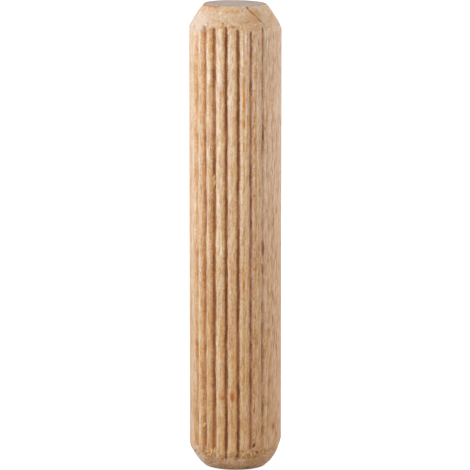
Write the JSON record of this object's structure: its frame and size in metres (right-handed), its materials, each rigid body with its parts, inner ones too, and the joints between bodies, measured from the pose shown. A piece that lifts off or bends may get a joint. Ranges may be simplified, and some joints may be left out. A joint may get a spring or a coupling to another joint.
{
  "type": "dowel pin",
  "caption": "Straight fluted wooden dowel pin with turned chamfers at both ends and two smooth strips, for glued joints in board and frame furniture.",
  "frame": {"origin": "middle of the lower end face, which the pin stands on", "axes": "+Z along the pin from the lower end face to the upper one; seen from above, the smooth strip faces 15 degrees clockwise of +X"},
  "size_m": [0.0078, 0.0078, 0.04],
  "materials": {
    "beech": "matte"
  },
  "bodies": {
    "root": {"dowel_pin": "beech"}
  },
  "joints": []
}
